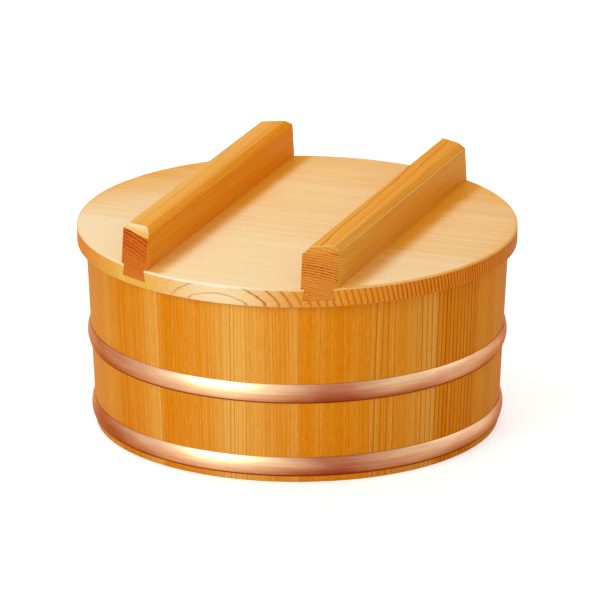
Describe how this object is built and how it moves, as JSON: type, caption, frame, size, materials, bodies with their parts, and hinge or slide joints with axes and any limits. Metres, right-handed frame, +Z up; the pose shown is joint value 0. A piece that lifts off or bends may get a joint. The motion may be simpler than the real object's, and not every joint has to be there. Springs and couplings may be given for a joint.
{
  "type": "lidded sushi rice tub",
  "caption": "Round coopered tub for sushi rice: tapered wooden staves in copper hoops, with a flat lift-off board lid stiffened by dovetailed cleats.",
  "frame": {"origin": "middle of the foot ring, on the surface that the tub stands on", "axes": "+Z up through the lid; Y along the two lid cleats; X along the grain of the lid boards"},
  "size_m": [0.344, 0.344, 0.1919],
  "materials": {
    "sawara_wall": "planed, oiled by age, satin",
    "sawara_bottom": "planed, bare",
    "sawara_lid": "planed, satin",
    "sawara_cleat": "planed, satin",
    "copper_hoop": "satin copper",
    "bamboo_pin": "split and shaved"
  },
  "bodies": {
    "tub": {"stave_01": "sawara_wall", "stave_02": "sawara_wall", "stave_03": "sawara_wall", "stave_04": "sawara_wall", "stave_05": "sawara_wall", "stave_06": "sawara_wall", "stave_07": "sawara_wall", "stave_08": "sawara_wall", "stave_09": "sawara_wall", "stave_10": "sawara_wall", "stave_11": "sawara_wall", "stave_12": "sawara_wall", "stave_13": "sawara_wall", "stave_14": "sawara_wall", "stave_15": "sawara_wall", "stave_16": "sawara_wall", "stave_17": "sawara_wall", "stave_18": "sawara_wall", "stave_pin_01": "bamboo_pin", "stave_pin_02": "bamboo_pin", "stave_pin_03": "bamboo_pin", "stave_pin_04": "bamboo_pin", "stave_pin_05": "bamboo_pin", "stave_pin_06": "bamboo_pin", "stave_pin_07": "bamboo_pin", "stave_pin_08": "bamboo_pin", "stave_pin_09": "bamboo_pin", "stave_pin_10": "bamboo_pin", "stave_pin_11": "bamboo_pin", "stave_pin_12": "bamboo_pin", "stave_pin_13": "bamboo_pin", "stave_pin_14": "bamboo_pin", "stave_pin_15": "bamboo_pin", "stave_pin_16": "bamboo_pin", "stave_pin_17": "bamboo_pin", "stave_pin_18": "bamboo_pin", "bottom_board_1": "sawara_bottom", "bottom_board_2": "sawara_bottom", "bottom_board_3": "sawara_bottom", "bottom_board_4": "sawara_bottom", "bottom_pin_1": "bamboo_pin", "bottom_pin_2": "bamboo_pin", "bottom_pin_3": "bamboo_pin", "bottom_pin_4": "bamboo_pin", "bottom_pin_5": "bamboo_pin", "bottom_pin_6": "bamboo_pin", "lower_hoop": "copper_hoop", "upper_hoop": "copper_hoop"},
    "lid": {"lid_board_1": "sawara_lid", "lid_board_2": "sawara_lid", "lid_board_3": "sawara_lid", "lid_pin_1": "bamboo_pin", "lid_pin_2": "bamboo_pin", "lid_pin_3": "bamboo_pin", "lid_pin_4": "bamboo_pin", "lid_pin_5": "bamboo_pin", "lid_pin_6": "bamboo_pin", "left_cleat": "sawara_cleat", "right_cleat": "sawara_cleat"}
  },
  "joints": [
    {"name": "lid_lift", "type": "slide", "parent": "tub", "child": "lid", "axis": [0, 0, 1], "range_m": [0, 0.2]}
  ]
}
